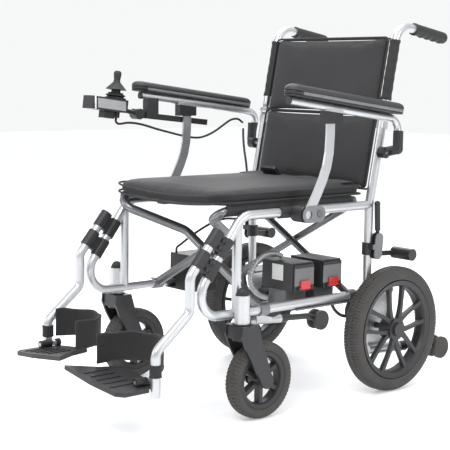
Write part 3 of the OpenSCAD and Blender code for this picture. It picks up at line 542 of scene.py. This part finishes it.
def strap_cloth(s):
    rib = (axes(s)[2] * 2600).wave()
    fuzz = speckle(s, 700, 2)
    return {"Base Color": fuzz.mix((0.008, 0.008, 0.009), (0.026, 0.026, 0.027)),
            "Roughness": fuzz * 0.15 + 0.72, "Normal": bump(s, rib * 0.5 + fuzz, 0.35, 0.0006)}


webbing = finish("black_webbing", strap_cloth, Sheen_Weight=0.08)

# Heel loops: a band of black webbing on each legrest that keeps the heel from
# sliding back, sewn into a sleeve round the tube, with a folded hem at both edges.

PLATE_TOP = {"left": 0.121, "right": 0.136}
LEG_X, LEG_Y = 0.212, -0.433
BAND_H = 0.066
BAND_PROFILE = [(-0.0016, 0.0), (-0.0024, 0.004), (-0.0012, 0.009), (-0.0011, 0.057), (-0.0024, 0.062),
                (-0.0016, BAND_H), (0.0016, BAND_H), (0.0024, 0.062), (0.0011, 0.057), (0.0012, 0.009),
                (0.0024, 0.004), (0.0016, 0.0)]
SLEEVE_PROFILE = [(-0.003, 0.0125), (-0.002, 0.0142), (0.002, 0.0134), (0.02, 0.0136), (0.024, 0.0142),
                  (0.025, 0.0125)]


def heel_line(low, high):
    """The band's path from above: a half turn behind the heel, then straight along the inner edge."""
    mid_x, mid_y = min(abs(low[0]), abs(high[0])) + 0.079, high[1] - 0.072
    bend_x, bend_y = 0.0775, 0.0705
    turns = [math.radians(a) for a in range(10, 181, 5)]
    line = [(mid_x + bend_x * math.cos(a), mid_y + bend_y * math.sin(a)) for a in turns]
    return line + [(mid_x - bend_x, mid_y - k * 0.0085) for k in range(1, 5)]


for side, s in SIDES.items():
    line = heel_line(*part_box(f"{side}_heel_loop"))
    z0 = PLATE_TOP[side] + 0.014
    points = []
    for i, (x, y) in enumerate(line):
        ax, ay = line[max(i - 1, 0)]
        bx, by = line[min(i + 1, len(line) - 1)]
        run = math.hypot(bx - ax, by - ay)
        nx, ny = (by - ay) / run, -(bx - ax) / run
        sway = 0.0012 * math.sin(i * 0.9)
        for out, up in BAND_PROFILE:
            lift = 0.0015 * math.sin(i * 0.55) * (1 if up > BAND_H / 2 else -0.6)
            reach = out + sway * (up / BAND_H)
            points.append(Vector((s * (x + nx * reach), y + ny * reach, z0 + up + lift)))
    loop = piece(f"{side}_heel_band", points, skin(len(line), len(BAND_PROFILE)), webbing,
                 f"{side}_side", (f"{side}_heel_loop",))
    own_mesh(loop)
    points = []
    for up, radius in SLEEVE_PROFILE:
        points += [Vector((s * LEG_X + u, LEG_Y + v, z0 + up)) for u, v in ring(radius, 32)]
    piece(f"{side}_heel_sleeve", points, skin(len(SLEEVE_PROFILE), 32, closed=True), webbing,
          f"{side}_side")


# ---- Seat ----
# A nylon sling is sewn round the two seat rails, and a thin foam cushion in the
# same cloth lies on it, with a piped edge and a lap belt of webbing across it.

def woven_nylon(s):
    x, y, z = axes(s)
    weft = (x * 2100).wave()
    warp = (y * 2100 + z * 2100).wave()
    fuzz = speckle(s, 600, 2)
    # Broad creases: the same noise sets the bump and paints the colour darker in its hollows. That is
    # painted shade in the creases, mixed with the random fibre fuzz.
    crease_and_shade = speckle(s, 14, 4)
    fuzz_and_crease_shade = crease_and_shade * 0.6 + fuzz * 0.4
    return {"Base Color": fuzz_and_crease_shade.mix((0.008, 0.008, 0.009), (0.026, 0.026, 0.028)),
            "Roughness": fuzz * 0.14 + 0.66,
            "Normal": bump(s, weft * warp * 0.3 + fuzz * 0.3 + crease_and_shade * 3.0, 0.3, 0.0009)}


nylon = finish("woven_nylon", woven_nylon, Sheen_Weight=0.06, Sheen_Roughness=0.5)
piping_cloth = finish("piping_cloth", strap_cloth, Sheen_Weight=0.1)


def rounded_rectangle(half_w, length, front_r, rear_r, steps=10, edge_steps=9):
    """Outline from the front left corner round to the front right one, as (x, y) from the front edge."""
    corners = [(half_w - front_r, front_r, front_r, -90), (half_w - rear_r, length - rear_r, rear_r, 0),
               (rear_r - half_w, length - rear_r, rear_r, 90), (front_r - half_w, front_r, front_r, 180)]
    line = []
    for (cx, cy, r, start), (nx, ny, nr, _) in zip(corners, corners[1:] + corners[:1]):
        line += [(cx + r * math.cos(math.radians(start + 90 * k / steps)),
                  cy + r * math.sin(math.radians(start + 90 * k / steps))) for k in range(steps + 1)]
        ex, ey = line[-1]
        a = math.radians(start + 90)
        fx, fy = nx + nr * math.cos(a), ny + nr * math.sin(a)
        line += [(ex + (fx - ex) * k / edge_steps, ey + (fy - ey) * k / edge_steps)
                 for k in range(1, edge_steps)]
    return line


def pillow(name, outline, depth, crown, place, material, body, replaced):
    """A crowned closed form over an outline; place(u, v, w) puts its points on the chair."""
    mid_u = sum(p[0] for p in outline) / len(outline)
    mid_v = (min(p[1] for p in outline) + max(p[1] for p in outline)) / 2
    levels = [(0.3, 0), (0.6, 0), (0.85, 0), (0.965, 0.02 * depth), (0.99, 0.2 * depth),
              (0.994, 0.5 * depth), (0.99, 0.8 * depth), (0.965, depth), (0.92, depth + 0.3 * crown),
              (0.8, depth + 0.72 * crown), (0.6, depth + 0.93 * crown), (0.3, depth + crown)]
    points = [place(mid_u, mid_v, 0)]
    for scale, w in levels:
        points += [place(mid_u + (u - mid_u) * scale, mid_v + (v - mid_v) * scale, w) for u, v in outline]
    points.append(place(mid_u, mid_v, depth + crown))
    n = len(outline)
    faces = [(0, 1 + (k + 1) % n, 1 + k) for k in range(n)]
    for i in range(len(levels) - 1):
        a, b = 1 + i * n, 1 + (i + 1) * n
        faces += [(a + k, a + (k + 1) % n, b + (k + 1) % n, b + k) for k in range(n)]
    last = 1 + (len(levels) - 1) * n
    faces += [(last + k, last + (k + 1) % n, len(points) - 1) for k in range(n)]
    return piece(name, points, faces, material, body, replaced)


def settle(made, modifier):
    """Applies a modifier to a piece."""
    with bpy.context.temp_override(object=made, active_object=made):
        bpy.ops.object.modifier_apply(modifier=modifier.name)


def puff(cushion, voxel=0.005, reach=0.005, last_frame=20):
    """Swells a pad with a short cloth simulation, no point moving further than reach."""
    scene = bpy.context.scene
    bpy.context.view_layer.objects.active = cushion
    remesh = cushion.modifiers.new("remesh", "REMESH")
    remesh.mode = "VOXEL"
    remesh.voxel_size = voxel
    settle(cushion, remesh)
    start = [v.co.copy() for v in cushion.data.vertices]
    cloth = cushion.modifiers.new("cloth", "CLOTH")
    cloth.settings.use_pressure = True
    cloth.settings.uniform_pressure_force = 4
    cloth.settings.effector_weights.gravity = 0
    cloth.point_cache.frame_start, cloth.point_cache.frame_end = 1, last_frame
    for step in range(1, last_frame + 1):
        scene.frame_set(step)
    settle(cushion, cloth)
    for vertex, was in zip(cushion.data.vertices, start):
        move = vertex.co - was
        if move.length > reach:
            vertex.co = was + move * (reach / move.length)
    scene.frame_set(1)
    smooth = cushion.modifiers.new("round", "SUBSURF")
    smooth.levels = smooth.render_levels = 1
    settle(cushion, smooth)
    cushion.data.shade_smooth()


RAIL_X, RAIL_Z = 0.190, 0.477
WRAP_R = 0.0135
CLOTH_T = 0.0014
PIPING_R = 0.0024
seat_low, seat_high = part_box("seat_cushion")
seat_base, seat_top = seat_low[2], seat_high[2]
seat_depth = seat_top - seat_base
seat_outline = rounded_rectangle((seat_high[0] - seat_low[0]) / 2, seat_high[1] - seat_low[1], 0.045, 0.016)


def on_seat(u, v, w):
    """The sling sags a little in the middle, and the cushion's front edge droops with it."""
    front = max(0, 1 - v / 0.07)
    droop = 0.012 * front * front * (1 - min(1, (u / RAIL_X) ** 2))
    return Vector((u, seat_low[1] + v, seat_base + w - droop))


cushion = pillow("seat_pad", seat_outline, seat_depth, 0.005, on_seat, nylon, "seat",
                 ("seat_cushion",))
puff(cushion)
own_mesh(cushion)


def piping(name, outline, height, place, body):
    """A thin corded edge sewn round a pad at this height above its base."""
    line = [place(u, v, height) for u, v in outline]
    points, faces = sweep(line, lambda i: ring(PIPING_R, 8), closed=True)
    made = piece(name, points, faces, piping_cloth, body)
    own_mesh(made)


piping("seat_top_piping", seat_outline, seat_depth - 0.002, on_seat, "seat")
piping("seat_base_piping", seat_outline, 0.003, on_seat, "seat")

# The sling: each side wraps round its rail, and the span between them sags a little.
low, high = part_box("seat_sling")
wrap_turns = [math.radians(a) for a in (*range(330, 90, -20), 90)]
wrap = [(-RAIL_X + WRAP_R * math.cos(a), RAIL_Z + WRAP_R * math.sin(a)) for a in wrap_turns]
span = [-RAIL_X + 2 * RAIL_X * k / 20 for k in range(1, 20)]
sling_line = wrap + [(x, low[2] + 0.001 - 0.006 * (1 - (x / RAIL_X) ** 2)) for x in span]
sling_line += [(-x, z) for x, z in reversed(wrap[:-1])]
rows = [low[1] + (high[1] - low[1]) * k / 24 for k in range(25)]
points = [Vector((x, y, z)) for y in rows for x, z in sling_line]
n = len(sling_line)
faces = [(i * n + k, i * n + k + 1, (i + 1) * n + k + 1, (i + 1) * n + k)
         for i in range(len(rows) - 1) for k in range(n - 1)]
sling = piece("seat_sling_cloth", points, faces, nylon, "seat", ("seat_sling",))
thicken = sling.modifiers.new("cloth_thickness", "SOLIDIFY")
thicken.thickness = CLOTH_T
thicken.offset = 0
settle(sling, thicken)
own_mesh(sling)

# The lap belt lies slack across the cushion, with its buckle to the right of the middle.
BELT_W, BELT_T = 0.038, 0.0022
BELT_EDGE = [(-0.5, -0.3), (-0.46, -0.5), (0.46, -0.5), (0.5, -0.3), (0.5, 0.3), (0.46, 0.5),
             (-0.46, 0.5), (-0.5, 0.3)]
BELT_WAY = Vector((0, 1, 0.05)).normalized()
low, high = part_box("seat_belt")
belt_y = (low[1] + high[1]) / 2
belt_line = []
for x in range(-194, 195, 8):
    ripple = 0.0022 * math.sin(x * 0.05) * math.sin(x * 0.013 + 1)
    belt_line.append(Vector((x / 1000, belt_y + 0.004 * math.sin(x * 0.018), seat_top + 0.0075 + ripple)))
points = []
for i, at in enumerate(belt_line):
    along = (belt_line[min(i + 1, len(belt_line) - 1)] - belt_line[max(i - 1, 0)]).normalized()
    out = along.cross(BELT_WAY).normalized()
    points += [at + BELT_WAY * u * BELT_W + out * v * BELT_T for u, v in BELT_EDGE]
belt = piece("lap_belt", points, skin(len(belt_line), len(BELT_EDGE)), webbing, "seat",
             ("seat_belt",))
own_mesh(belt)

BUCKLE_EDGE = [(-0.7, -1), (0.7, -1), (1, -0.8), (1, 0.8), (0.7, 1), (-0.7, 1), (-1, 0.8), (-1, -0.8)]
buckle_line = [Vector((-0.112 + 0.0054 * k, belt_y, seat_top + 0.011)) for k in range(11)]


def buckle_section(i):
    """The buckle narrows a little at its two ends."""
    keep = 0.88 if i in (0, len(buckle_line) - 1) else 1
    return [(u * keep * 0.0055, v * keep * 0.025) for u, v in BUCKLE_EDGE]


points, faces = sweep(buckle_line, buckle_section)
buckle = piece("belt_buckle", points, faces, black_nylon, "seat", smooth=False)
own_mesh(buckle)


# ---- Back ----
# Two padded panels of black mesh cloth between the canes, one on each side of
# the half-folding hinge, with a gusset, a piped edge and sleeves round the canes.

RECLINE = math.radians(10.9)
CANE_X = 0.213
UP_BACK = Vector((0, math.sin(RECLINE), math.cos(RECLINE)))
FRONT_OF_BACK = Vector((0, -math.cos(RECLINE), math.sin(RECLINE)))


def back_point(x, z):
    """A point on the canes' centre plane at this height."""
    return Vector((x, 0.27475 + (z - 0.688) * math.tan(RECLINE), z))


def mesh_cloth(s):
    x, _, z = axes(s)
    cell = (x * 1300).wave() * (z * 1300).wave()
    fuzz = speckle(s, 500, 2)
    # Broad creases: the same noise sets the bump and paints the colour darker in its hollows. That is
    # painted shade in the creases, mixed half and half with the random fibre fuzz.
    crease_and_shade = speckle(s, 10, 4)
    return {"Base Color": (crease_and_shade * 0.5 + fuzz * 0.5).mix((0.011, 0.011, 0.012), (0.036, 0.036, 0.038)),
            "Roughness": fuzz * 0.12 + 0.7,
            "Normal": bump(s, cell * 0.5 + fuzz * 0.4 + crease_and_shade * 3.0, 0.35, 0.001)}


spacer_mesh = finish("black_mesh_cloth", mesh_cloth, Sheen_Weight=0.06)
for which, z0, z1, body in (
        ("lower", 0.504, 0.6874, "left_side"), ("upper", 0.6886, 0.878, "left_back")):
    base = back_point(0, z0)
    height = (z1 - z0) / math.cos(RECLINE)
    outline = rounded_rectangle(0.2005, height, 0.012, 0.012, 5)

    def on_back(u, v, w):
        return base + Vector((u, 0, 0)) + UP_BACK * v + FRONT_OF_BACK * (w - 0.007)

    pad = pillow(f"{which}_back_cushion", outline, 0.018, 0.006, on_back, spacer_mesh, body,
                 (f"{which}_back_pad",))
    puff(pad)
    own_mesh(pad)
    piping(f"{which}_back_front_piping", outline, 0.0175, on_back, body)
    piping(f"{which}_back_rear_piping", outline, 0.002, on_back, body)


SLEEVE_LOW, SLEEVE_HIGH, SLEEVE_R = 0.725, 0.873, 0.0127


def sleeve_section(i):
    """A sewn sleeve round the cane, with a hem at each end and shallow gathers."""
    hem = 0.0009 if i in (0, 1, 29, 30) else 0
    radius = SLEEVE_R + hem + 0.0004 * math.sin(i * 1.3)
    turns = [2 * math.pi * k / 28 for k in range(28)]
    gather = [radius * (1 + 0.02 * math.sin(5 * a + i * 0.4)) for a in turns]
    return [(r * math.cos(a), r * math.sin(a)) for r, a in zip(gather, turns)]


for side, s in SIDES.items():
    line = [back_point(s * CANE_X, SLEEVE_LOW + (SLEEVE_HIGH - SLEEVE_LOW) * k / 30) for k in range(31)]
    points, faces = sweep(line, sleeve_section)
    piece(f"{side}_back_sleeve", points, faces, nylon, f"{side}_back")


# ---- Push grips ----
# A soft rubber grip pressed on the end of each push handle, with finger ridges
# along its underside and a rounded end.

HANDLE_CORNER = Vector((CANE_X, 0.31787, 0.9119))
HANDLE_WAY = Vector((0, math.cos(math.radians(9)), -math.sin(math.radians(9))))
GRIP_START, GRIP_LENGTH, GRIP_R = 0.061, 0.124, 0.0148
GRIP_STEPS, GRIP_SIDES = 62, 36


def soft_rubber(s):
    grain = speckle(s, 420, 4)
    return {"Base Color": speckle(s, 18).mix((0.012, 0.012, 0.012), (0.03, 0.03, 0.031)),
            "Roughness": grain * 0.2 + 0.5, "Normal": bump(s, grain, 0.3, 0.0006)}


grip_skin = finish("grip_rubber", soft_rubber)
down = Vector((0, 0, -1))
GRIP_DOWN = (down - HANDLE_WAY * down.dot(HANDLE_WAY)).normalized()
GRIP_ACROSS = HANDLE_WAY.cross(GRIP_DOWN)


def grip_point(i, k):
    """Point k of ring i, from the grip's middle line: five finger ridges below and fine ribs all round."""
    t = i / GRIP_STEPS
    a = 2 * math.pi * k / GRIP_SIDES
    under = max(0, math.cos(a)) ** 2
    ridge = 0.0016 * under * math.sin(t * 5 * 2 * math.pi) * (0.1 < t < 0.9)
    rib = 0.0003 * math.sin(t * 40 * 2 * math.pi)
    rounding = 0.0035 * max(0, (t - 0.93) / 0.07) ** 2
    radius = GRIP_R + 0.0007 * (t < 0.06) - rounding + ridge + rib
    return GRIP_DOWN * (radius * math.cos(a)) + GRIP_ACROSS * (radius * math.sin(a))


for side, s in SIDES.items():
    start = Vector((s * HANDLE_CORNER.x, HANDLE_CORNER.y, HANDLE_CORNER.z)) + HANDLE_WAY * GRIP_START
    points = [start + HANDLE_WAY * (GRIP_LENGTH * i / GRIP_STEPS) + grip_point(i, k)
              for i in range(GRIP_STEPS + 1) for k in range(GRIP_SIDES)]
    piece(f"{side}_grip", points, skin(GRIP_STEPS + 1, GRIP_SIDES), grip_skin, f"{side}_back",
          (f"{side}_push_grip",))


# ---- Arm pads ----
# Moulded foam pads with a grained black skin on each arm: a domed top with both
# ends rounded, a gray strip along the sides and a thin black base plate.

ARM_FRONT = Vector((0.274, -0.114, 0.726))
ARM_SLOPE = math.atan2(47, 393)
ARM_SPLAY = math.radians(1.3)
PAD_R, PAD_L = 0.024, 0.396
PAD_PLATE = [(0.004, 0.0), (0.0015, 0.0005), (0.0015, 0.0035), (0.004, 0.004)]
PAD_STRIP = [(0.004, 0.0042), (0.0008, 0.0046), (0.0008, 0.0118), (0.004, 0.0122)]
PAD_DOME = [(0.003, 0.0124), (0.0004, 0.0130), (0.0, 0.0145), (0.0004, 0.0168), (0.002, 0.0198),
            (0.0045, 0.0225), (0.0078, 0.0246), (0.012, 0.0262), (0.0165, 0.027), (0.0205, 0.0273)]


def grained_skin(s):
    pores = s.node("TexVoronoi", inputs={"Vector": position(s), "Scale": 520})
    return {"Base Color": speckle(s, 16).mix((0.018, 0.018, 0.019), (0.04, 0.04, 0.042)),
            "Roughness": pores * 0.2 + 0.42, "Normal": bump(s, pores, 0.25, 0.0006)}


pad_skin = finish("grained_pad_skin", grained_skin)


def strip_finish(s):
    """The gray side strip starts behind a black nose piece."""
    nose = axes(s)[1] < -0.098
    grain = speckle(s, 340, 4)
    gray = speckle(s, 14).mix((0.14, 0.142, 0.147), (0.2, 0.202, 0.21))
    return {"Base Color": nose.mix(gray, (0.014, 0.014, 0.015)), "Roughness": grain * 0.25 + 0.35,
            "Normal": bump(s, grain, 0.2, 0.0005)}


strip_gray = finish("pad_side_strip", strip_finish)
pad_turn = Matrix.Rotation(ARM_SPLAY, 4, "Z") @ Matrix.Rotation(-ARM_SLOPE, 4, "X")
half_turn = [math.radians(180 * k / 24) for k in range(25)]
pad_outline = [(-PAD_R * math.cos(a), PAD_R - PAD_R * math.sin(a)) for a in half_turn]
pad_outline += [(PAD_R * math.cos(a), PAD_L - PAD_R + PAD_R * math.sin(a)) for a in half_turn]


def on_arm(s, u, v, w):
    """A point on the arm's sloped top, from the pad's front end, at side s."""
    p = pad_turn @ Vector((u, v, w)) + Vector((ARM_FRONT.x + 0.010, ARM_FRONT.y - 0.015, 0))
    return Vector((s * p.x, p.y, p.z))


def shrink(inset):
    """The pad's outline drawn in by this much all round."""
    keep = (PAD_R - inset) / PAD_R
    outline = []
    for u, v in pad_outline:
        centre = min(max(v, PAD_R), PAD_L - PAD_R)
        outline.append((u * keep, centre + (v - centre) * keep))
    return outline


def pad_layer(side, name, levels, material, replaced=()):
    """One layer of an arm pad: an outline at each level, as (inset, height)."""
    s = SIDES[side]
    lift = Vector((0, 0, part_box(f"{side}_arm_pad")[0][2] - min(on_arm(s, 0, v, 0).z for v in (0, PAD_L))))
    points = [on_arm(s, u, v, w) + lift for inset, w in levels for u, v in shrink(inset)]
    return piece(f"{side}_{name}", points, skin(len(levels), len(pad_outline)), material, f"{side}_arm",
                 replaced)


for side in SIDES:
    pad_layer(side, "pad_plate", PAD_PLATE, black_nylon)
    pad_layer(side, "pad_strip", PAD_STRIP, strip_gray)
    top = pad_layer(side, "arm_cushion", PAD_DOME, pad_skin, (f"{side}_arm_pad",))


# ---- Batteries ----
# Two lithium packs in black moulded shells slide out to the left. Each is held
# by a red latch, and the front pack has a blank white rating sheet on its face.

def red_gloss(s):
    grain = speckle(s, 200)
    return {"Base Color": speckle(s, 20).mix((0.42, 0.012, 0.012), (0.6, 0.03, 0.028)),
            "Roughness": grain * 0.12 + 0.22, "Normal": bump(s, grain, 0.08, 0.0004)}


latch_red = finish("latch_red", red_gloss, Coat_Weight=0.4)
dress(latch_red, "front_battery_latch", "rear_battery_latch")


def battery_shell(s):
    """A black shell with a gray, finely ribbed panel on its outer end."""
    x, y, z = axes(s)
    grain = speckle(s, 340, 4)
    low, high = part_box("front_battery")
    panel = (x > 0.2035) * z.between(low[2] + 0.014, high[2] - 0.012)
    ribs = (y * 1400).wave() * panel
    black = speckle(s, 11).mix((0.015, 0.015, 0.016), (0.034, 0.034, 0.036))
    gray = speckle(s, 14).mix((0.13, 0.132, 0.138), (0.19, 0.192, 0.2))
    return {"Base Color": panel.mix(black, gray), "Roughness": grain * 0.25 + 0.34,
            "Normal": bump(s, grain * 0.4 + ribs, 0.35, 0.0008)}


battery_skin = finish("battery_shell", battery_shell)
dress(battery_skin, "front_battery", "rear_battery")


def label_paper(s):
    return {"Base Color": speckle(s, 40).mix((0.7, 0.7, 0.69), (0.8, 0.8, 0.79)),
            "Roughness": speckle(s, 90) * 0.1 + 0.4}


low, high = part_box("front_battery")
SHEET_CORNERS = [(0.3, 0.34), (0.3, 0.9), (0.62, 0.9), (0.62, 0.34)]
points = [Vector((low[0] + (high[0] - low[0]) * u, low[1] - depth, low[2] + (high[2] - low[2]) * w))
          for depth in (0.0001, 0.0007) for u, w in SHEET_CORNERS]
piece("battery_rating_sheet", points, skin(2, len(SHEET_CORNERS)), finish("label_paper", label_paper),
      "front_battery_pack", smooth=False)


# ---- Joystick ----
# A moulded box clamped to the right arm: black nose and tail, gray side panels,
# a pale stripe across the nose, and a rubber boot under the stick's knob.

def joystick_shell(s):
    """The stripe and the side panels follow the slope of the arm."""
    y, z = axes(s)[1:]
    grain = speckle(s, 340, 4)
    black = speckle(s, 12).mix((0.014, 0.014, 0.015), (0.032, 0.032, 0.034))
    silver = speckle(s, 30).mix((0.3, 0.305, 0.315), (0.4, 0.405, 0.415))
    pale = speckle(s, 30).mix((0.72, 0.72, 0.72), (0.8, 0.8, 0.8))
    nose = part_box("joystick_box")[0][1]
    off_middle = ((z + y * ARM_FALL) - 0.6758).distance()
    sides = y.between(nose + 0.016, nose + 0.101) * (off_middle < 0.0118)
    stripe = y.between(nose + 0.0075, nose + 0.0115) * (off_middle < 0.0165)
    return {"Base Color": stripe.mix(sides.mix(black, silver), pale),
            "Roughness": grain * 0.25 + 0.33, "Normal": bump(s, grain, 0.2, 0.0005)}


dress(finish("joystick_shell", joystick_shell), "joystick_box")
dress(grip_skin, "joystick_stick")

# The boot's waist stands between its fins and the skirt, and leans with the stick.
BOOT_FOOT = Vector((-0.263, -0.177, 0.697))
BOOT_BACK = 0.025
BOOT_SIDES = 40
boot = [(0.0118, 0.0165), (0.0128, 0.0185), (0.0122, 0.0215), (0.0145, 0.0235), (0.0122, 0.0255),
        (0.0125, 0.030), (0.0118, 0.0365), (0.0112, 0.042)]
boot_turn = Matrix.Rotation(-ARM_SLOPE, 3, "X")
points = [BOOT_FOOT + boot_turn @ Vector((u, v - BOOT_BACK, height))
          for radius, height in boot for u, v in ring(radius, BOOT_SIDES)]
piece("joystick_boot", points, skin(len(boot), BOOT_SIDES), grip_skin, "stick")


def turned_steel(s):
    fine = speckle(s, 800, 2)
    return {"Base Color": speckle(s, 50).mix((0.5, 0.5, 0.51), (0.62, 0.62, 0.63)),
            "Roughness": fine * 0.2 + 0.25, "Normal": bump(s, fine, 0.1, 0.0003)}


dress(finish("turned_steel", turned_steel, Metallic=1.0), "joystick_gimbal")
